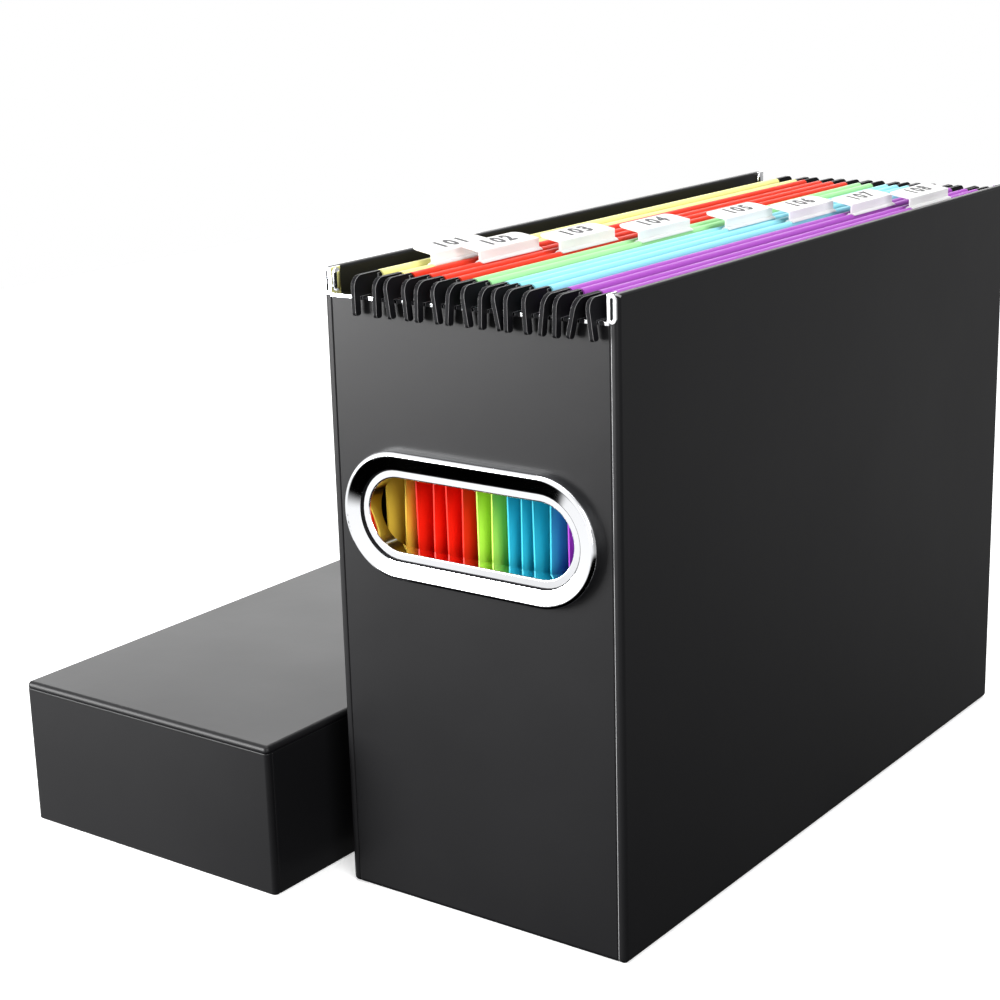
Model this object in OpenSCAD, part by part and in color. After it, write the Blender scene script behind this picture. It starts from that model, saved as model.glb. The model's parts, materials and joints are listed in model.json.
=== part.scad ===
// Portable box for hanging files, in millimetres.
// An open box of covered board has a chrome grip and a chrome rail at each end, eight hanging
// folders with index tabs, and a deep lid that has been lifted off and stands beside it.
// The origin is the centre of the box's underside. +X runs to the right along the front end
// wall, +Y towards the rear end wall and +Z up.

/* [Box] */
// Width of the box across an end wall
box_w = 128; // [124:1:150]
// Length of the box from end wall to end wall
box_d = 318; // [310:1:330]
// Height of the two long walls
box_h = 244; // [230:1:270]
// Thickness of the covered board
wall_t = 3.5; // [3:0.5:4]
// How far the end walls stop below the long walls
end_drop = 10; // [8:0.5:12]
// Rounding of the covered edges
edge_r = 2; // [1:0.5:3]

/* [Lid] */
// Outer width of the lid
lid_w = 136; // [134:1:158]
// Outer length of the lid
lid_d = 338; // [336:1:350]
// Depth of the lid
lid_h = 62; // [40:1:90]
// Thickness of the lid's board
lid_t = 2.8; // [2:0.1:3]
// Place of the lid's centre across the box
lid_x = -148; // [-200:1:-142]
// Place of the lid's centre along the box
lid_y = -18; // [-40:1:40]

/* [Grips] */
// Height of the grip's centre above the underside
grip_z = 155; // [120:1:180]
// Length of the finger slot
slot_w = 91; // [80:1:96]
// Height of the finger slot
slot_h = 28; // [24:1:32]
// Width of the chrome ring round the slot
ring_w = 10.4; // [8:0.2:12]
// How far the ring stands out of the wall
ring_rise = 4.4; // [3:0.2:6]

/* [Rails] */
// Thickness of the chrome sheet
rail_t = 0.7; // [0.5:0.1:1]
// Depth of the rail's lip on the outside of the end wall
rail_lip = 0.6; // [0.6:0.2:3]
// Length of the ear along the long wall
ear_depth = 5.4; // [4:0.2:10]

/* [Folders] */
// Number of hanging folders
folder_count = 8; // [1:1:8]
// Free width between the left wall and the first folder
play_left = 12.8; // [11:0.2:14]
// Free width between the last folder and the right wall
play_right = 4.2; // [3.8:0.1:5]
// Least gap between two hems
hem_gap = 1; // [0.8:0.1:1.2]
// Diameter of a rod
rod_d = 2.4; // [2:0.1:2.6]
// Thickness of the folder sheet
sheet_t = 0.6; // [0.5:0.1:0.7]
// Length of the hem that holds a rod
hem_len = 296; // [284:1:297]
// Length of the sheet below the hooks
sheet_len = 300; // [298:1:304]
// Height of the fold above the underside
fold_z = 12; // [8:1:30]

/* [Hooks] */
// Thickness of the hook plate
hook_t = 1.6; // [1.4:0.1:2]
// Height of the hook above the rail
hook_rise = 7.8; // [7:0.2:9]
// How far the hook's leg reaches below the rail
leg_drop = 6.8; // [4:0.2:8]
// Width of the leg along the box
leg_w = 3.2; // [3:0.1:4.6]

/* [Tabs] */
// Length of a tab along the folder
tab_len = 38; // [30:1:40]
// Gap between a tab's face and the hem of the folder before it
tab_gap = 0.7; // [0.6:0.1:3]
// Height of the tab's foot above the hem
tab_foot = 4; // [3:0.2:5]
// How much the tab's face climbs to its free edge
tab_climb = 1.8; // [0.5:0.1:3]
// Thickness of the tab
tab_t = 0.6; // [0.5:0.1:0.8]
// Thickness of the paper label
label_t = 0.2; // [0.2:0.1:0.4]

/* [Hidden] */
$fn = 48;
board_black = "#1d1e20";
chrome = "#d9dadd";
hook_black = "#151617";
tab_white = "#f4f4f2";
label_white = "#ffffff";
sheet_colours = ["#f2f268", "#f0401f", "#e8331c", "#84d98b", "#7fd4ee", "#6cc6e8", "#b35cc8", "#a043bd"];

end_h = box_h - end_drop;
front_y = -box_d / 2;
inner_w = box_w - 2 * wall_t;
top_r = 1.2;
lid_clear_d = lid_d - 2 * lid_t;

slot_r = slot_h / 2;
grip_run = slot_w - slot_h;
ring_r = slot_r + ring_w;
sleeve_t = 1.4;
cut_play = 0.4;
cut_r = slot_r + sleeve_t + cut_play;
rim_r = 1.5;
dish_slope = 17;
ledge_w = 3.6;
ledge_h = 1.8;
ledge_r = 0.6;
backing_t = 1.6;
backing_w = 6;
backing_play = 0.05;

rail_top = end_h + rail_t;
inner_lip = 5;
ear_flange = 3.6;
ear_slot_w = 1.1;
ear_slot_h = 7.6;

hem_play = 0.1;
hem_in = rod_d / 2 + hem_play;
hem_r = hem_in + sheet_t;
hem_over_hook = 0.2;
rod_above_rail = hook_rise - hem_r + hem_over_hook;
rod_z = rail_top + rod_above_rail;
leg_play = 0.6;
leg_in_y = front_y - rail_t - leg_play;
leg_out_y = leg_in_y - leg_w;
plate_play = 0.4;
plate_in_y = front_y + wall_t + rail_t + plate_play;
plate_end_y = -hem_len / 2 - plate_play;
plate_drop = 2.8;
hook_corner_r = 4.5;
leg_tip_r = 1.2;
rod_over = 2;
hem_turn = 43;
notch_drop = 12.5;
notch_h = notch_drop + 2 * hem_r;
fold_r = 2;
tab_corner_r = 4;
saddle_z = 1.4;
label_margin = 1.4;

// The right rods hang a pitch apart, and each left rod hangs its own distance before them. A share
// of 0 brings the two hems of a folder together, and 1 brings the left one to the folder before it.
most_folders = 8;
pitch = (inner_w - play_left - play_right) / most_folders;
rods_apart = 2 * hem_r + hem_gap;
gap_shares = [1.5, 1, 0.65, 0.3, 0.05, 0.75, 0, 0.1];
tab_reach = pitch - hem_r - tab_gap;
foot_top = hem_r + tab_foot;
// How far the hooks on the left and right rod of each folder lean, in degrees; above 0 the tip goes right
leans = [[1, 0], [8, 6], [-1, 8], [-5, 9], [-2, 12], [0, 4], [-7, -2], [-13, 8]];
// Near end of each tab along the box
tab_y = [-130, -118, -85, -50, -6, 23, 52, 80];

function rod_gap(k) = rods_apart + gap_shares[k] * (pitch - 2 * rods_apart);

// Centre of a folder, halfway between its rods
function folder_x(k) = inner_w / 2 - play_right - hem_r - (most_folders - 1 - k) * pitch - rod_gap(k) / 2;

// A leaning hook stands on the corner of its notch, which lifts its rod a little
function rod_up(lean) = rod_above_rail * (cos(lean) - 1) + hook_t / 2 * sin(abs(lean));

// Height of a tab's face above the rod at a distance x from the rod
function face_z(x) = foot_top + tab_climb * (tab_t / 2 - x) / (tab_reach + tab_t / 2);

folder_parts = ["sheet", "left_rod", "right_rod", "tab", "label"];
folder_nodes = [for (k = [1 : folder_count], p = folder_parts) str("folder_", k, "_", p)];

// A rectangle with round corners, centred
module round_rect(w, d, r) {
    square([w - 2 * r, d], center = true);
    square([w, d - 2 * r], center = true);
    for (x = [-1, 1], y = [-1, 1])
        translate([x * (w / 2 - r), y * (d / 2 - r)])
            circle(r);
}

// A pill of the given straight run and end radius, centred
module pill(run, r) {
    square([run, 2 * r], center = true);
    for (s = [-1, 1])
        translate([s * run / 2, 0])
            circle(r);
}

// A block on z = 0 whose upright edges and whose edges round the foot are rounded
module soft_block(w, d, h, r) {
    translate([0, 0, r])
        linear_extrude(h - r)
            round_rect(w, d, r);
    translate([0, 0, r / 2])
        cube([w - 2 * r, d - 2 * r, r], center = true);
    for (s = [-1, 1]) {
        translate([0, s * (d / 2 - r), r])
            rotate([0, 90, 0])
                cylinder(h = w - 2 * r, r = r, center = true);
        translate([s * (w / 2 - r), 0, r])
            rotate([90, 0, 0])
                cylinder(h = d - 2 * r, r = r, center = true);
        for (t = [-1, 1])
            translate([s * (w / 2 - r), t * (d / 2 - r), r])
                sphere(r);
    }
}

// Carries a piece drawn for the front end to the rear end
module at_end(end) {
    rotate([0, 0, end < 0 ? 0 : 180])
        children();
}

module base_panel() {
    color(board_black)
        translate([0, 0, wall_t / 2])
            cube([inner_w, box_d - 2 * wall_t, wall_t], center = true);
}

// A long wall with a rounded top edge
module side_wall(side) {
    color(board_black)
        intersection() {
            soft_block(box_w, box_d, box_h, edge_r);
            translate([side * (box_w - wall_t) / 2, 0, 0])
                rotate([90, 0, 0])
                    linear_extrude(box_d + 2, center = true) {
                        translate([0, (box_h - top_r) / 2])
                            square([wall_t, box_h - top_r], center = true);
                        translate([0, box_h - top_r])
                            pill(wall_t - 2 * top_r, top_r);
                    }
        }
}

module end_wall(end) {
    color(board_black)
        at_end(end)
            difference() {
                intersection() {
                    soft_block(box_w, box_d, box_h, edge_r);
                    translate([-inner_w / 2, front_y, 0])
                        cube([inner_w, wall_t, end_h]);
                }
                translate([0, front_y + wall_t / 2, grip_z])
                    rotate([90, 0, 0])
                        linear_extrude(wall_t + 2, center = true)
                            pill(grip_run, cut_r);
            }
}

// Sweeps a cross-section round a pill; the section's x is the distance from the pill's middle line
module pill_sweep(run) {
    for (turn = [0, 180])
        rotate([0, 0, turn]) {
            translate([run / 2, 0, 0])
                rotate([0, 0, -90])
                    rotate_extrude(angle = 180)
                        children();
            translate([-run / 2, 0, 0])
                rotate([90, 0, 90])
                    linear_extrude(run)
                        children();
        }
}

// The ring's section: a round rim, a dish that slopes in from it, a ledge and the sleeve
module bezel_section() {
    rim_x = ring_r - rim_r;
    rim_z = ring_rise - rim_r;
    dish_x = rim_x - rim_r * sin(dish_slope);
    dish_z = rim_z + rim_r * cos(dish_slope);
    step_x = slot_r + ledge_w;
    step_z = dish_z - (dish_x - step_x) * tan(dish_slope);
    translate([rim_x, rim_z])
        circle(rim_r);
    polygon([
        [step_x, 0],
        [ring_r, 0],
        [ring_r, rim_z],
        [rim_x, rim_z],
        [dish_x, dish_z],
        [step_x, step_z]
    ]);
    translate([slot_r + ledge_r, 0])
        square([ledge_w, ledge_h]);
    translate([slot_r + ledge_r, ledge_h - ledge_r])
        circle(ledge_r);
    translate([slot_r, -wall_t - backing_t])
        square([sleeve_t, wall_t + backing_t + ledge_h - ledge_r]);
}

// The chrome ring on the outside of an end wall, with a ledge and a sleeve through the wall
module grip_bezel(end) {
    color(chrome)
        at_end(end)
            translate([0, front_y, grip_z])
                rotate([90, 0, 0])
                    pill_sweep(grip_run)
                        bezel_section();
}

// The flat ring that clamps the grip on the inside of the wall
module grip_backing(end) {
    color(chrome)
        at_end(end)
            translate([0, front_y + wall_t + backing_t, grip_z])
                rotate([90, 0, 0])
                    linear_extrude(backing_t)
                        difference() {
                            pill(grip_run, slot_r + sleeve_t + backing_w);
                            pill(grip_run, slot_r + sleeve_t + backing_play);
                        }
}

// One ear: a flange with a pressed slot over the long wall's end, and a leg on its inner face
module rail_ear() {
    ear_x = inner_w / 2;
    ear_h = box_h - end_h;
    translate([ear_x - rail_t, front_y - rail_t, end_h])
        cube([rail_t, ear_depth, ear_h]);
    translate([ear_x - rail_t + ear_flange / 2, front_y, end_h + ear_h / 2])
        rotate([90, 0, 0])
            linear_extrude(rail_t)
                difference() {
                    rotate([0, 0, 90])
                        pill(ear_h - ear_flange, ear_flange / 2);
                    rotate([0, 0, 90])
                        pill(ear_slot_h - ear_slot_w, ear_slot_w / 2);
                }
}

// The folded rail over an end wall's top edge, which carries the hooks
module rail(end) {
    color(chrome)
        at_end(end) {
            translate([-inner_w / 2, 0, 0])
                rotate([90, 0, 90])
                    linear_extrude(inner_w) {
                        translate([front_y - rail_t, end_h])
                            square([wall_t + 2 * rail_t, rail_t]);
                        translate([front_y - rail_t, end_h - rail_lip])
                            square([rail_t, rail_lip]);
                        translate([front_y + wall_t, end_h - inner_lip])
                            square([rail_t, inner_lip]);
                    }
            for (s = [0, 1])
                mirror([s, 0, 0])
                    rail_ear();
        }
}

module lid_outline() {
    translate([lid_x, lid_y, lid_h])
        mirror([0, 0, 1])
            soft_block(lid_w, lid_d, lid_h, edge_r);
}

module lid_top() {
    color(board_black)
        intersection() {
            lid_outline();
            translate([lid_x, lid_y, lid_h - lid_t / 2])
                cube([lid_w + 2, lid_d + 2, lid_t], center = true);
        }
}

// A short skirt closes an end of the lid over its full width
module lid_end_skirt(end) {
    color(board_black)
        intersection() {
            lid_outline();
            translate([lid_x, lid_y + end * (lid_d - lid_t) / 2, (lid_h - lid_t) / 2])
                cube([lid_w + 2, lid_t, lid_h - lid_t], center = true);
        }
}

// A long skirt runs between the two short ones
module lid_side_skirt(side) {
    color(board_black)
        translate([lid_x + side * (lid_w - lid_t) / 2, lid_y, (lid_h - lid_t) / 2])
            cube([lid_t, lid_clear_d, lid_h - lid_t], center = true);
}

// Outline of the left half of a folder, from the hem round its rod down to the fold
module sheet_half(hem_x, hem_z) {
    panel_x = hem_x - hem_in * cos(hem_turn);
    panel_z = hem_z - hem_in * sin(hem_turn);
    translate([hem_x, hem_z])
        difference() {
            circle(hem_r);
            circle(hem_in);
        }
    polygon([
        [panel_x - sheet_t, panel_z],
        [-fold_r, fold_z + fold_r],
        [-fold_r + sheet_t, fold_z + fold_r],
        [panel_x, panel_z]
    ]);
}

module fold_section() {
    translate([0, fold_z + fold_r])
        difference() {
            circle(fold_r);
            circle(fold_r - sheet_t);
            translate([-fold_r - 1, 0])
                square([2 * fold_r + 2, fold_r + 1]);
        }
}

// The folded sheet with its two hems, cut back at the four upper corners for the hooks
module folder_sheet(k) {
    color(sheet_colours[k])
        translate([folder_x(k), 0, 0])
            difference() {
                rotate([90, 0, 0])
                    linear_extrude(sheet_len, center = true) {
                        for (i = [0, 1])
                            mirror([i, 0])
                                sheet_half(-rod_gap(k) / 2, rod_z + rod_up(leans[k][i]) - hem_play);
                        fold_section();
                    }
                for (s = [-1, 1])
                    translate([0, s * (hem_len + sheet_len) / 4, rod_z - notch_drop + notch_h / 2])
                        cube([rod_gap(k) + 4 * hem_r, (sheet_len - hem_len) / 2, notch_h], center = true);
            }
}

// Outline of a hook from the side, for the front end; x is along the box and y is the height
module hook_outline() {
    top_z = rail_top + hook_rise;
    tip_z = rail_top - leg_drop;
    shoulder_y = leg_out_y + hook_corner_r;
    translate([leg_out_y, tip_z + leg_tip_r])
        square([leg_w, top_z - hook_corner_r - tip_z - leg_tip_r]);
    translate([leg_out_y + leg_tip_r, tip_z])
        square([leg_w - 2 * leg_tip_r, leg_tip_r]);
    for (y = [leg_out_y + leg_tip_r, leg_in_y - leg_tip_r])
        translate([y, tip_z + leg_tip_r])
            circle(leg_tip_r);
    translate([leg_out_y, rail_top])
        square([hook_corner_r, hook_rise - hook_corner_r]);
    intersection() {
        translate([shoulder_y, top_z - hook_corner_r])
            circle(hook_corner_r);
        translate([leg_out_y, top_z - hook_corner_r])
            square(hook_corner_r);
    }
    translate([shoulder_y, rail_top])
        square([plate_end_y - shoulder_y, hook_rise]);
    translate([plate_in_y, rail_top - plate_drop])
        square([plate_end_y - plate_in_y, hook_rise + plate_drop]);
}

// A rod with a hook at each end; the hooks lean about the rod and rest on the rails
module rod(k, i) {
    lean = leans[k][i];
    color(hook_black)
        translate([folder_x(k) + (i - 0.5) * rod_gap(k), 0, rod_z + rod_up(lean)]) {
            rotate([90, 0, 0])
                cylinder(h = hem_len + 2 * rod_over, r = rod_d / 2, center = true);
            for (end = [0, 1])
                mirror([0, end, 0])
                    rotate([0, -lean, 0])
                        translate([0, 0, -rod_z])
                            rotate([90, 0, 90])
                                linear_extrude(hook_t, center = true)
                                    hook_outline();
        }
}

// Outline of a tab from the front, at the right rod: a saddle on the hem, a foot and a leaning face
module tab_outline() {
    difference() {
        circle(hem_r + tab_t);
        circle(hem_r);
        translate([-2 * hem_r, saddle_z - 4 * hem_r])
            square(4 * hem_r);
    }
    translate([-tab_t / 2, hem_r + tab_t / 3])
        square([tab_t, tab_foot - tab_t / 3]);
    polygon([
        [tab_t / 2, foot_top],
        [-tab_reach, face_z(-tab_reach)],
        [-tab_reach, face_z(-tab_reach) - tab_t],
        [-tab_t / 2, foot_top - tab_t]
    ]);
}

// Outline of the tab's face from above, drawn in by a margin, with its free corners rounded
module tab_plan(margin) {
    free_x = -tab_reach + margin;
    face_len = tab_len - 2 * margin;
    translate([free_x + tab_corner_r, margin])
        square([tab_reach - tab_corner_r + 3, face_len]);
    translate([free_x, margin + tab_corner_r])
        square([tab_corner_r + 1, face_len - 2 * tab_corner_r]);
    for (y = [margin + tab_corner_r, tab_len - margin - tab_corner_r])
        translate([free_x + tab_corner_r, y])
            circle(tab_corner_r);
}

// Sets what is drawn at the origin on the right hem of a folder
module on_hem(k) {
    translate([folder_x(k) + rod_gap(k) / 2, tab_y[k], rod_z + rod_up(leans[k][1]) - hem_play])
        children();
}

module folder_tab(k) {
    color(tab_white)
        on_hem(k)
            intersection() {
                translate([0, tab_len, 0])
                    rotate([90, 0, 0])
                        linear_extrude(tab_len)
                            tab_outline();
                linear_extrude(foot_top + 2 * tab_climb)
                    tab_plan(0);
            }
}

// The paper label on the tab's face
module folder_label(k) {
    color(label_white)
        on_hem(k)
            intersection() {
                translate([0, tab_len, 0])
                    rotate([90, 0, 0])
                        linear_extrude(tab_len)
                            polygon([
                                [0, face_z(0)],
                                [0, face_z(0) + label_t],
                                [-tab_reach, face_z(-tab_reach) + label_t],
                                [-tab_reach, face_z(-tab_reach)]
                            ]);
                linear_extrude(foot_top + 2 * tab_climb)
                    intersection() {
                        tab_plan(label_margin);
                        translate([-tab_reach, 0])
                            square([tab_reach - label_margin, tab_len]);
                    }
            }
}

module folder_piece(k, part) {
    if (part == "sheet") folder_sheet(k);
    if (part == "left_rod") rod(k, 0);
    if (part == "right_rod") rod(k, 1);
    if (part == "tab") folder_tab(k);
    if (part == "label") folder_label(k);
}

base_panel();
side_wall(-1);  // left_side_wall
side_wall(1);  // right_side_wall
end_wall(-1);  // front_end_wall
end_wall(1);  // rear_end_wall
rail(-1);  // front_rail
rail(1);  // rear_rail
grip_bezel(-1);  // front_grip_bezel
grip_backing(-1);  // front_grip_backing
grip_bezel(1);  // rear_grip_bezel
grip_backing(1);  // rear_grip_backing
lid_top();
lid_end_skirt(-1);  // lid_front_skirt
lid_end_skirt(1);  // lid_rear_skirt
lid_side_skirt(-1);  // lid_left_skirt
lid_side_skirt(1);  // lid_right_skirt
for (k = [1 : folder_count], part = folder_parts)
    folder_piece(k - 1, part);
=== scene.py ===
import json
import math

import bmesh
import bpy
from mathutils import Matrix, Vector


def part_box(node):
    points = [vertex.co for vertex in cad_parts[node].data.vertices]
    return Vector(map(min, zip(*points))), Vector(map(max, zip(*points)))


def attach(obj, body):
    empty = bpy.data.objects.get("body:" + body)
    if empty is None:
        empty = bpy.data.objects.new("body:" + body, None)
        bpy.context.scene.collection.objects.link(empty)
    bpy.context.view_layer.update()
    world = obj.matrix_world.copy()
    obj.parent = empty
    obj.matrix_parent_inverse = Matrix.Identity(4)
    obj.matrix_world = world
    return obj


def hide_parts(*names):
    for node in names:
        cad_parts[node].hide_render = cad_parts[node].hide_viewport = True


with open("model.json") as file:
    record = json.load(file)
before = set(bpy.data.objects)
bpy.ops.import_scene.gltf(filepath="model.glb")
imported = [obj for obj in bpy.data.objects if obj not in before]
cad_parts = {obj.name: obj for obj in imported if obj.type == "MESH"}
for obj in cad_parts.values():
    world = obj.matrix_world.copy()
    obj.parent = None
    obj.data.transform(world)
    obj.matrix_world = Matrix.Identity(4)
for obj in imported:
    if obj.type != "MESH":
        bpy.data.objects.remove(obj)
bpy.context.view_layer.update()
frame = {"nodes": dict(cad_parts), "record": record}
nodes = frame["nodes"]
bodyOf = {name: body for body, names in frame["record"]["behaviour"]["bodies"].items() for name in names}
ends = ("front", "rear")
sides = ("left", "right")
folderNumbers = range(1, 9)  # counted from the left wall
print("frame loaded:", len(nodes), "nodes")

# camera, at the photograph's viewing angle
cameraSettings = {
    "place": (0.429, -0.719, 0.3616),
    "heading": 36.59,
    "tilt": 74.40,
    "roll": -1.61,
    "lens": 74.05,
    "sensor": 36,
    "clipEnd": 20,
}


def makeCamera(settings):
    data = bpy.data.cameras.new("camera")
    data.sensor_width = settings["sensor"]
    data.lens = settings["lens"]
    data.clip_end = settings["clipEnd"]
    camera = bpy.data.objects.new("camera", data)
    bpy.context.scene.collection.objects.link(camera)
    turn = Matrix.Rotation(math.radians(settings["heading"]), 4, "Z")
    turn = turn @ Matrix.Rotation(math.radians(settings["tilt"]), 4, "X")
    turn = turn @ Matrix.Rotation(math.radians(settings["roll"]), 4, "Z")
    camera.matrix_world = Matrix.Translation(settings["place"]) @ turn
    bpy.context.scene.camera = camera


makeCamera(cameraSettings)
bpy.context.scene.view_settings.view_transform = "Standard"
print("camera set")

noiseSpan = (0.3, 0.7)  # noise rarely leaves these values


# small helpers for shader trees
def startMaterial(name):
    material = bpy.data.materials.new(name)
    material.use_nodes = True
    tree = material.node_tree
    return material, tree, tree.nodes["Principled BSDF"]


def addNode(tree, kind, options=None, values=None):
    node = tree.nodes.new(kind)
    for key, value in (options or {}).items():
        setattr(node, key, value)
    for key, value in (values or {}).items():
        node.inputs[key].default_value = value
    return node


def objectPoint(tree, scale=(1, 1, 1)):
    coords = addNode(tree, "ShaderNodeTexCoord")
    mapping = addNode(tree, "ShaderNodeMapping", values={"Scale": scale})
    tree.links.new(coords.outputs["Object"], mapping.inputs["Vector"])
    return mapping.outputs["Vector"]


def noise(tree, point, scale, detail, roughness=0.5):
    values = {"Scale": scale, "Detail": detail, "Roughness": roughness}
    node = addNode(tree, "ShaderNodeTexNoise", values=values)
    tree.links.new(point, node.inputs["Vector"])
    return node.outputs["Fac"]


def mapRange(tree, value, start, end, low=0, high=1, easing="SMOOTHSTEP"):
    values = {"From Min": start, "From Max": end, "To Min": low, "To Max": high}
    node = addNode(tree, "ShaderNodeMapRange", {"interpolation_type": easing}, values)
    tree.links.new(value, node.inputs["Value"])
    return node.outputs["Result"]


def startMix(tree, value):
    node = addNode(tree, "ShaderNodeMix", {"data_type": "RGBA"})
    tree.links.new(value, node.inputs["Factor"])
    return node, node.inputs[6], node.inputs[7], node.outputs[2]  # sockets 6, 7 and 2 carry the colours


def tint(tree, value, dark, light):
    node, first, second, result = startMix(tree, value)
    first.default_value = (*dark, 1)
    second.default_value = (*light, 1)
    return result


def roughen(tree, shader, value, limits):
    uneven = mapRange(tree, value, *noiseSpan, *limits, "LINEAR")
    tree.links.new(uneven, shader.inputs["Roughness"])


def bump(tree, height, relief, under=None):
    strength, depth = relief
    node = addNode(tree, "ShaderNodeBump", values={"Strength": strength, "Distance": depth})
    tree.links.new(height, node.inputs["Height"])
    if under:
        tree.links.new(under, node.inputs["Normal"])
    return node.outputs["Normal"]


# black covering of the board, with a very fine pressed grain
boardSettings = {
    "dark": (0.0050, 0.0050, 0.0056),
    "light": (0.0080, 0.0080, 0.0088),
    "rough": (0.36, 0.42),
    "gloss": 0.18,
    "cloud": (9, 4),
    "grain": 1500,
    "grainRelief": (0.35, 0.00002),
    "warp": (40, 2),
    "warpRelief": (0.12, 0.0006),
}
# the rounded edges of the right-hand wall are painted light grey and made glossier: a painted highlight line
pressedSettings = {
    **boardSettings,
    "dark": (0.23, 0.23, 0.233),
    "light": (0.29, 0.29, 0.294),
    "rough": (0.22, 0.32),
    "gloss": 1.0,
}


def coveredBoard(name, settings):
    material, tree, shader = startMaterial(name)
    shader.inputs["Specular IOR Level"].default_value = settings["gloss"]
    point = objectPoint(tree)
    cloud = noise(tree, point, *settings["cloud"])
    tree.links.new(tint(tree, cloud, settings["dark"], settings["light"]), shader.inputs["Base Color"])
    roughen(tree, shader, cloud, settings["rough"])
    pebble = addNode(tree, "ShaderNodeTexVoronoi", {"feature": "SMOOTH_F1"}, {"Scale": settings["grain"]})
    tree.links.new(point, pebble.inputs["Vector"])
    grain = bump(tree, pebble.outputs["Distance"], settings["grainRelief"])
    warp = noise(tree, point, *settings["warp"])
    tree.links.new(bump(tree, warp, settings["warpRelief"], grain), shader.inputs["Normal"])
    return material


# bright chrome, with the faint ripple of plated sheet
chromeSettings = {
    "colour": (0.80, 0.81, 0.83, 1),
    "rough": (0.04, 0.1),
    "smear": (30, 5),
    "ripple": (90, 1),
    "relief": (0.08, 0.0003),
}


def polishedChrome(settings):
    material, tree, shader = startMaterial("polishedChrome")
    shader.inputs["Base Color"].default_value = settings["colour"]
    shader.inputs["Metallic"].default_value = 1
    point = objectPoint(tree)
    roughen(tree, shader, noise(tree, point, *settings["smear"]), settings["rough"])
    ripple = noise(tree, point, *settings["ripple"])
    tree.links.new(bump(tree, ripple, settings["relief"]), shader.inputs["Normal"])
    return material


# moulded black plastic of the hooks: dull flats, and glossier rims painted light grey as a highlight
flatSettings = {
    "dark": (0.004, 0.004, 0.005),
    "light": (0.008, 0.008, 0.009),
    "rough": (0.42, 0.55),
    "gloss": 0.05,
    "patch": (60, 4),
    "texture": (2600, 3),
    "relief": (0.25, 0.00003),
}
rimHighlightSettings = {
    **flatSettings,
    "dark": (0.24, 0.24, 0.244),
    "light": (0.31, 0.31, 0.315),
    "rough": (0.24, 0.34),
    "gloss": 1.0,
}
# white tab plastic, which lets a little light through, and label paper
tabSettings = {
    "dark": (0.82, 0.82, 0.81),
    "light": (0.88, 0.88, 0.87),
    "rough": (0.42, 0.52),
    "gloss": 0.3,
    "patch": (80, 3),
    "texture": (1500, 2),
    "relief": (0.1, 0.00003),
    "seeThrough": 0.7,
    "lightReach": 0.004,
}
paperSettings = {
    "dark": (0.86, 0.86, 0.84),
    "light": (0.93, 0.93, 0.92),
    "rough": (0.55, 0.7),
    "gloss": 0.5,
    "patch": (300, 6, 0.7),
    "texture": (4000, 4),
    "relief": (0.3, 0.00003),
}


def fineFinish(name, settings):
    material, tree, shader = startMaterial(name)
    shader.inputs["Specular IOR Level"].default_value = settings["gloss"]
    if "seeThrough" in settings:
        shader.inputs["Subsurface Weight"].default_value = settings["seeThrough"]
        shader.inputs["Subsurface Radius"].default_value = (1, 1, 1)
        shader.inputs["Subsurface Scale"].default_value = settings["lightReach"]
    point = objectPoint(tree)
    patch = noise(tree, point, *settings["patch"])
    tree.links.new(tint(tree, patch, settings["dark"], settings["light"]), shader.inputs["Base Color"])
    roughen(tree, shader, patch, settings["rough"])
    texture = noise(tree, point, *settings["texture"])
    tree.links.new(bump(tree, texture, settings["relief"]), shader.inputs["Normal"])
    return material


# coloured folder stock, with faint fibres and soft creases: painted deeper on the faces below, as shade
# inside the box, and paler on the hems at the top, as painted light
# each colour's faces are painted deeper as shade, and its top hems paler as painted light
sheetColours = {
    "sheetYellow": {"dark": (0.80, 0.53, 0.055), "light": (0.86, 0.62, 0.08), "hem": (0.90, 0.86, 0.33)},
    "sheetRed": {"dark": (0.78, 0.017, 0.006), "light": (0.84, 0.025, 0.008), "hem": (0.74, 0.036, 0.012)},
    "sheetGreen": {"dark": (0.48, 0.77, 0.088), "light": (0.52, 0.81, 0.112), "hem": (0.36, 0.75, 0.33)},
    "sheetBlue": {"dark": (0.026, 0.46, 0.58), "light": (0.046, 0.52, 0.68), "hem": (0.28, 0.69, 0.80)},
    "sheetPurple": {"dark": (0.30, 0.0425, 0.45), "light": (0.34, 0.0525, 0.49), "hem": (0.36, 0.072, 0.46)},
}
sheetOrder = [
    "sheetYellow", "sheetRed", "sheetRed", "sheetGreen",
    "sheetBlue", "sheetBlue", "sheetPurple", "sheetPurple",
]
stockSettings = {
    "hemFrom": 0.222,
    "hemTo": 0.236,
    "rough": (0.38, 0.52),
    "gloss": 0.2,
    "cloud": (35, 5, 0.6),
    "crease": (14, 2, 0.4),
    "creaseStretch": (1, 1, 0.25),
    "creaseRelief": (0.35, 0.004),
    "fibre": (2400, 4, 0.65),
    "fibreStretch": (1, 0.12, 1),
    "fibreRelief": (0.3, 0.00004),
}


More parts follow.
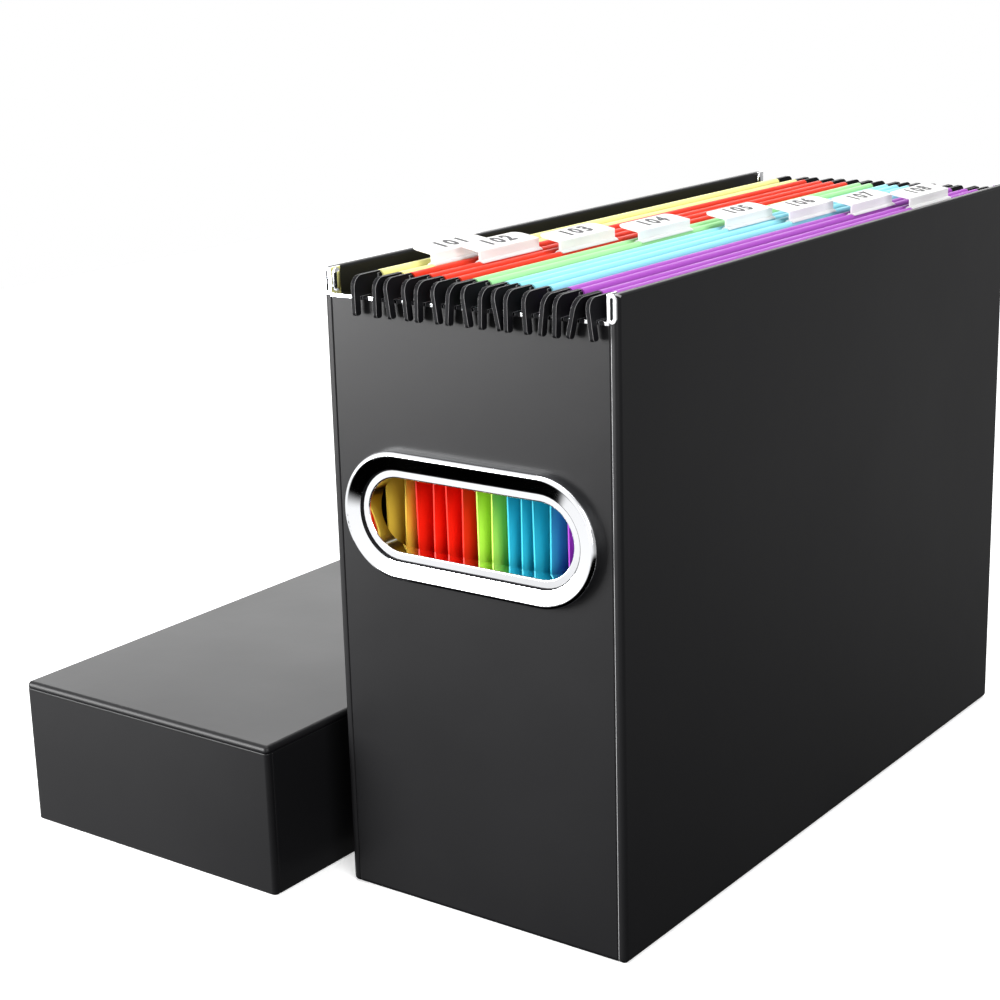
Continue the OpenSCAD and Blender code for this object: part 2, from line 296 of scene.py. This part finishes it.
def folderStock(name, colours, settings):
    material, tree, shader = startMaterial(name)
    shader.inputs["Specular IOR Level"].default_value = settings["gloss"]
    point = objectPoint(tree)
    cloud = noise(tree, point, *settings["cloud"])
    height = addNode(tree, "ShaderNodeSeparateXYZ")
    tree.links.new(point, height.inputs["Vector"])
    # painted light and shade by height: paler on the top hems, deeper on the faces below
    hem = mapRange(tree, height.outputs["Z"], settings["hemFrom"], settings["hemTo"])
    node, face, edge, paint = startMix(tree, hem)
    tree.links.new(tint(tree, cloud, colours["dark"], colours["light"]), face)
    edge.default_value = (*colours["hem"], 1)
    tree.links.new(paint, shader.inputs["Base Color"])
    roughen(tree, shader, cloud, settings["rough"])
    crease = noise(tree, objectPoint(tree, settings["creaseStretch"]), *settings["crease"])
    waves = bump(tree, crease, settings["creaseRelief"])
    fibre = noise(tree, objectPoint(tree, settings["fibreStretch"]), *settings["fibre"])
    tree.links.new(bump(tree, fibre, settings["fibreRelief"], waves), shader.inputs["Normal"])
    return material


finishes = {
    "board": coveredBoard("coveredBoard", boardSettings),
    # painted highlight for the right-hand wall's rounded edges
    "boardEdgeHighlight": coveredBoard("pressedEdge", pressedSettings),
    "chrome": polishedChrome(chromeSettings),
    "hook": fineFinish("hookPlastic", flatSettings),
    # painted highlight for the hooks' rounded rims
    "hookRimHighlight": fineFinish("hookRimHighlight", rimHighlightSettings),
    "tab": fineFinish("whiteTab", tabSettings),
    "label": fineFinish("labelPaper", paperSettings),
}
for stockName, stockColours in sheetColours.items():
    finishes[stockName] = folderStock(stockName, stockColours, stockSettings)
print("materials made:", len(finishes))


def finishFor(name):
    if "rail" in name or "grip" in name:
        return finishes["chrome"]
    if name.endswith("rod"):
        return finishes["hook"]
    if name.endswith("sheet"):
        return finishes[sheetOrder[int(name.split("_")[1]) - 1]]
    if name.endswith("tab"):
        return finishes["tab"]
    if name.endswith("label"):
        return finishes["label"]
    return finishes["board"]


def giveMaterial(thing, material):
    thing.data.materials.clear()
    thing.data.materials.append(material)


for nodeName, node in nodes.items():
    giveMaterial(node, finishFor(nodeName))
print("nodes dressed")


# what every new piece needs: a mesh, an object, its finish and its body
def smoothMesh(name, shape):
    mesh = bpy.data.meshes.new(name)
    shape.to_mesh(mesh)
    shape.free()
    mesh.shade_smooth()
    return mesh


def addPiece(name, mesh, material, body):
    piece = bpy.data.objects.new(name, mesh)
    bpy.context.scene.collection.objects.link(piece)
    giveMaterial(piece, material)
    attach(piece, body)
    return piece


# covered board, folded chrome, moulded hooks and tabs get the small roundings that catch the light
boardNodes = [
    "left_side_wall", "front_end_wall", "rear_end_wall",
    "lid_top", "lid_front_skirt", "lid_rear_skirt", "lid_left_skirt", "lid_right_skirt",
]
hookNodes = [f"folder_{k}_{side}_rod" for k in folderNumbers for side in sides]
edgeSettings = {
    "board": {"nodes": boardNodes, "width": 0.0005, "segments": 2},
    # the right-hand wall's roundings take a rim finish painted light grey: a painted highlight
    "pressed": {"nodes": ["right_side_wall"], "width": 0.0005, "segments": 2, "rim": "boardEdgeHighlight"},
    "rails": {"nodes": [f"{end}_rail" for end in ends], "width": 0.0002, "segments": 2},
    # the hooks' roundings take a rim finish painted light grey: a painted highlight
    "hooks": {"nodes": hookNodes, "width": 0.0004, "segments": 3, "rim": "hookRimHighlight"},
    "tabs": {"nodes": [f"folder_{k}_tab" for k in folderNumbers], "width": 0.00014, "segments": 2},
}
edgeTools = {
    "mergeWithin": 1e-6,
    "flatWithin": 1,
    "sharpFrom": 30,
    "faceWeight": 60,
}


def roundEdges(nodeName, settings, tools):
    shape = bmesh.new()
    shape.from_mesh(nodes[nodeName].data)
    bmesh.ops.remove_doubles(shape, verts=shape.verts, dist=tools["mergeWithin"])
    bmesh.ops.dissolve_limit(shape, angle_limit=math.radians(tools["flatWithin"]),
                             verts=shape.verts, edges=shape.edges)
    name = nodeName + "_rounded"
    piece = addPiece(name, smoothMesh(name, shape), finishFor(nodeName), bodyOf[nodeName])
    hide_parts(nodeName)
    rounding = piece.modifiers.new("rounding", "BEVEL")
    rounding.width = settings["width"]
    rounding.segments = settings["segments"]
    rounding.limit_method = "ANGLE"
    rounding.angle_limit = math.radians(tools["sharpFrom"])
    piece.modifiers.new("flatFaces", "WEIGHTED_NORMAL").weight = tools["faceWeight"]
    # the rim finishes, on the right-hand wall and on the hooks, are painted lighter: painted highlights on
    # the roundings
    if "rim" in settings:
        piece.data.materials.append(finishes[settings["rim"]])
        rounding.material = 1  # only the rounding takes the rim's finish


for edge in edgeSettings.values():
    for nodeName in edge["nodes"]:
        roundEdges(nodeName, edge, edgeTools)
print("edges rounded")

# a pressed bead on the inner face of every rail ear
beadSettings = {
    "plate": 0.0007,
    "proud": 0.0009,
    "halfWidth": 0.0021,
    "halfHeight": 0.0043,
    "inset": 0.00305,
    "segments": 24,
}


def earBead(end, side, settings):
    low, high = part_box(f"{end}_rail")
    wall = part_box(f"{side}_side_wall")
    inwards = 1 if side == "left" else -1
    inner = (wall[1][0] if side == "left" else wall[0][0]) + inwards * settings["plate"]
    depth = low[1] + settings["inset"] if end == "front" else high[1] - settings["inset"]
    middle = (high[2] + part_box(f"{end}_end_wall")[1][2] + settings["plate"]) / 2
    shape = bmesh.new()
    rounds = settings["segments"]
    bmesh.ops.create_uvsphere(shape, u_segments=rounds, v_segments=rounds, radius=1)
    radii = (settings["proud"], settings["halfWidth"], settings["halfWidth"])
    bmesh.ops.scale(shape, verts=shape.verts, vec=radii)
    stretch = settings["halfHeight"] - settings["halfWidth"]
    for way in (1, -1):
        half = [v for v in shape.verts if v.co.z * way > 1e-7]
        bmesh.ops.translate(shape, verts=half, vec=(0, 0, way * stretch))
    whole = shape.verts[:] + shape.edges[:] + shape.faces[:]
    cut = bmesh.ops.bisect_plane(shape, geom=whole, plane_co=(0, 0, 0), plane_no=(-inwards, 0, 0),
                                 clear_outer=True)
    rim = [item for item in cut["geom_cut"] if isinstance(item, bmesh.types.BMEdge)]
    bmesh.ops.contextual_create(shape, geom=rim)
    bmesh.ops.translate(shape, verts=shape.verts, vec=(inner, depth, middle))
    bmesh.ops.recalc_face_normals(shape, faces=shape.faces)
    name = f"{end}_{side}_ear_bead"
    addPiece(name, smoothMesh(name, shape), finishes["chrome"], "box")


for end in ends:
    for side in sides:
        earBead(end, side, beadSettings)
print("ear beads pressed")

# the dark joint line between each grip's dish and its ledge, drawn as one closed loop of thin wire
jointSettings = {
    "run": 0.063,
    "radius": 0.01742,
    "height": 0.155,
    "proud": 0.0021,
    "wire": 0.00042,
    "wireSides": 8,
    "turnSteps": 24,
    "mergeWithin": 1e-6,
}


def gripJoint(end, settings):
    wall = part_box(f"{end}_end_wall")
    face = wall[0][1] - settings["proud"] if end == "front" else wall[1][1] + settings["proud"]
    half = settings["run"] / 2
    shape = bmesh.new()
    bmesh.ops.create_circle(shape, segments=settings["wireSides"], radius=settings["wire"])
    upright = Matrix.Rotation(math.radians(90), 3, "Z") @ Matrix.Rotation(math.radians(90), 3, "X")
    bmesh.ops.rotate(shape, verts=shape.verts, matrix=upright)
    bmesh.ops.translate(shape, verts=shape.verts, vec=(half, face, settings["height"] - settings["radius"]))
    ring = shape.edges[:]
    for way in (1, -1):
        centre = (way * half, face, settings["height"])
        turned = bmesh.ops.spin(shape, geom=ring, cent=centre, axis=(0, -1, 0), angle=math.radians(180),
                                steps=settings["turnSteps"], use_duplicate=False)
        last = [item for item in turned["geom_last"] if isinstance(item, bmesh.types.BMEdge)]
        pushed = bmesh.ops.extrude_edge_only(shape, edges=last)["geom"]
        moved = [item for item in pushed if isinstance(item, bmesh.types.BMVert)]
        bmesh.ops.translate(shape, verts=moved, vec=(-way * settings["run"], 0, 0))
        ring = [edge for edge in shape.edges if edge.is_boundary and all(v in moved for v in edge.verts)]
    bmesh.ops.remove_doubles(shape, verts=shape.verts, dist=settings["mergeWithin"])
    bmesh.ops.recalc_face_normals(shape, faces=shape.faces)
    name = f"{end}_grip_joint"
    addPiece(name, smoothMesh(name, shape), finishes["hook"], "box")


for end in ends:
    gripJoint(end, jointSettings)
print("grip joints drawn")

# a plain number on every label, read along the folder
numberSettings = {
    "first": 101,
    "size": 0.00868,
    "bold": 0.0004,
    "fineness": 3,
    "gap": 1.25,
    "wide": 1.2,
    "thick": 0.00002,
    "lift": 0.00003,
    "facing": 0.8,
    "share": 0.2,
}
inkSettings = {
    "colour": (0.012, 0.012, 0.014, 1),
    "rough": (0.45, 0.6),
    "patch": (900, 3),
    "texture": (5000, 3),
    "relief": (0.2, 0.00002),
}


def numberInk(settings):
    material, tree, shader = startMaterial("numberInk")
    shader.inputs["Base Color"].default_value = settings["colour"]
    point = objectPoint(tree)
    roughen(tree, shader, noise(tree, point, *settings["patch"]), settings["rough"])
    texture = noise(tree, point, *settings["texture"])
    tree.links.new(bump(tree, texture, settings["relief"]), shader.inputs["Normal"])
    return material


def numberShape(word, settings):
    text = bpy.data.curves.new("number", "FONT")
    text.body = word
    text.size = settings["size"]
    text.offset = settings["bold"]
    text.resolution_u = settings["fineness"]
    text.space_character = settings["gap"]
    text.extrude = settings["thick"]
    text.align_x = "CENTER"
    text.align_y = "CENTER"
    holder = bpy.data.objects.new("number", text)
    bpy.context.scene.collection.objects.link(holder)
    mesh = bpy.data.meshes.new_from_object(holder.evaluated_get(bpy.context.evaluated_depsgraph_get()))
    bpy.data.objects.remove(holder)
    return mesh


# the middle of a label's upper face and the way it faces
def labelTop(k, settings):
    upper = [face for face in nodes[f"folder_{k}_label"].data.polygons if face.normal.z > settings["facing"]]
    largest = max(face.area for face in upper)
    upper = [face for face in upper if face.area > settings["share"] * largest]
    total = sum(face.area for face in upper)
    middle = sum((face.center * face.area for face in upper), Vector()) / total
    lean = sum((face.normal * face.area for face in upper), Vector()).normalized()
    return middle, lean


def labelNumber(k, settings, material):
    mesh = numberShape(str(settings["first"] + k - 1), settings)
    middle, lean = labelTop(k, settings)
    across = Vector((0, 1, 0)).cross(lean).normalized()
    along = lean.cross(across).normalized()
    turn = Matrix((along, -across, lean)).transposed().to_4x4()
    place = Matrix.Translation(middle + lean * settings["lift"])
    mesh.transform(place @ turn @ Matrix.Diagonal((settings["wide"], 1, 1, 1)))
    addPiece(f"folder_{k}_number", mesh, material, f"folder_{k}")


ink = numberInk(inkSettings)
for k in folderNumbers:
    labelNumber(k, numberSettings, ink)
print("labels numbered")

# white floor, clear from below so that the undersides can be looked at
floorSettings = {
    "size": 1.3,
    "drop": 0.0003,
    "colour": (0.9, 0.9, 0.9, 1),
    "rough": 0.9,
    "glow": 0.45,
}


def makeFloor(settings):
    shape = bmesh.new()
    bmesh.ops.create_grid(shape, x_segments=1, y_segments=1, size=settings["size"])
    bmesh.ops.translate(shape, verts=shape.verts, vec=(0, 0, -settings["drop"]))
    floor = bpy.data.objects.new("floor", smoothMesh("floor", shape))
    bpy.context.scene.collection.objects.link(floor)
    material, tree, shader = startMaterial("paleFloor")
    shader.inputs["Base Color"].default_value = settings["colour"]
    shader.inputs["Roughness"].default_value = settings["rough"]
    shader.inputs["Specular IOR Level"].default_value = 0
    shader.inputs["Emission Color"].default_value = (1, 1, 1, 1)
    shader.inputs["Emission Strength"].default_value = settings["glow"]
    chooser = addNode(tree, "ShaderNodeMixShader")
    below = addNode(tree, "ShaderNodeNewGeometry").outputs["Backfacing"]
    tree.links.new(below, chooser.inputs["Fac"])
    tree.links.new(shader.outputs["BSDF"], chooser.inputs[1])
    tree.links.new(addNode(tree, "ShaderNodeBsdfTransparent").outputs["BSDF"], chooser.inputs[2])
    tree.links.new(chooser.outputs["Shader"], tree.nodes["Material Output"].inputs["Surface"])
    giveMaterial(floor, material)
    floor.visible_glossy = False
    floor.visible_diffuse = False


# the studio around it: plain white behind, and for reflections bright on one side and dark below
studioSettings = {
    "backdrop": 1.0,
    "dome": 0.15,
    "bright": 1.25,
    "dim": 0.5,
    "brightSide": (-0.62, -0.72, 0.3),
    "sideFrom": -0.6,
    "sideTo": 0.9,
    "darkBelow": -0.43,
    "fullAbove": -0.27,
    "openFrom": -0.64,
    "openTo": -0.78,
    "openLift": 0.3,
}


def combine(tree, operation, first, second):
    node = addNode(tree, "ShaderNodeMath", {"operation": operation})
    tree.links.new(first, node.inputs[0])
    tree.links.new(second, node.inputs[1])
    return node.outputs["Value"]


def makeStudio(settings):
    world = bpy.data.worlds.new("studio")
    world.use_nodes = True
    tree = world.node_tree
    ray = addNode(tree, "ShaderNodeLightPath")
    direction = addNode(tree, "ShaderNodeTexCoord").outputs["Generated"]
    split = addNode(tree, "ShaderNodeSeparateXYZ")
    tree.links.new(direction, split.inputs["Vector"])
    opening = mapRange(tree, split.outputs["X"], settings["openFrom"], settings["openTo"],
                       0, settings["openLift"], "LINEAR")
    height = combine(tree, "ADD", split.outputs["Z"], opening)
    rise = mapRange(tree, height, settings["darkBelow"], settings["fullAbove"])
    facing = addNode(tree, "ShaderNodeVectorMath", {"operation": "DOT_PRODUCT"})
    facing.inputs[1].default_value = Vector(settings["brightSide"]).normalized()
    tree.links.new(direction, facing.inputs[0])
    side = mapRange(tree, facing.outputs["Value"], settings["sideFrom"], settings["sideTo"],
                    settings["dim"], settings["bright"])
    mirrored = combine(tree, "MULTIPLY", ray.outputs["Is Glossy Ray"], combine(tree, "MULTIPLY", rise, side))
    fill = addNode(tree, "ShaderNodeMath", {"operation": "MULTIPLY_ADD"})
    fill.inputs[1].default_value = settings["dome"]
    tree.links.new(ray.outputs["Is Diffuse Ray"], fill.inputs[0])
    tree.links.new(mirrored, fill.inputs[2])
    lit = tree.nodes["Background"]
    lit.inputs["Color"].default_value = (1, 1, 1, 1)
    tree.links.new(fill.outputs["Value"], lit.inputs["Strength"])
    white = {"Color": (1, 1, 1, 1), "Strength": settings["backdrop"]}
    backdrop = addNode(tree, "ShaderNodeBackground", values=white)
    chooser = addNode(tree, "ShaderNodeMixShader")
    tree.links.new(ray.outputs["Is Camera Ray"], chooser.inputs["Fac"])
    tree.links.new(lit.outputs["Background"], chooser.inputs[1])
    tree.links.new(backdrop.outputs["Background"], chooser.inputs[2])
    tree.links.new(chooser.outputs["Shader"], tree.nodes["World Output"].inputs["Surface"])
    bpy.context.scene.world = world


# soft boxes: one overhead, a wide one low behind, one near the front left, two at the right
lampSettings = {
    "overhead": {"place": (-0.1, 0.1, 1.7), "aim": (0, 0, 0.15), "size": (1.6, 1.6), "power": 28},
    "backLeft": {"place": (-1.5, 1.8, 0.72), "aim": (-0.1, 0, 0.3), "size": (2.6, 1.25), "power": 27},
    "nearLeft": {"place": (-0.80, -0.92, 0.33), "aim": (0, -0.16, 0.14), "size": (0.6, 0.6), "power": 29},
    "frontRight": {"place": (1.3, -0.9, 0.95), "aim": (0, 0, 0.2), "size": (0.8, 0.8), "power": 22},
    "edgeStrip": {"place": (0.66, -1.02, 0.2), "aim": (0.06, -0.16, 0.14), "size": (0.2, 0.36), "power": 1.2},
}


def makeLamp(name, settings):
    data = bpy.data.lights.new(name, "AREA")
    data.shape = "RECTANGLE"
    data.size, data.size_y = settings["size"]
    data.energy = settings["power"]
    lamp = bpy.data.objects.new(name, data)
    lamp.visible_camera = False
    bpy.context.scene.collection.objects.link(lamp)
    lamp.location = settings["place"]
    aim = Vector(settings["aim"]) - Vector(settings["place"])
    lamp.rotation_euler = aim.to_track_quat("-Z", "Y").to_euler()


makeFloor(floorSettings)
makeStudio(studioSettings)
for lampName, lamp in lampSettings.items():
    makeLamp(lampName, lamp)
print("floor and lights set")
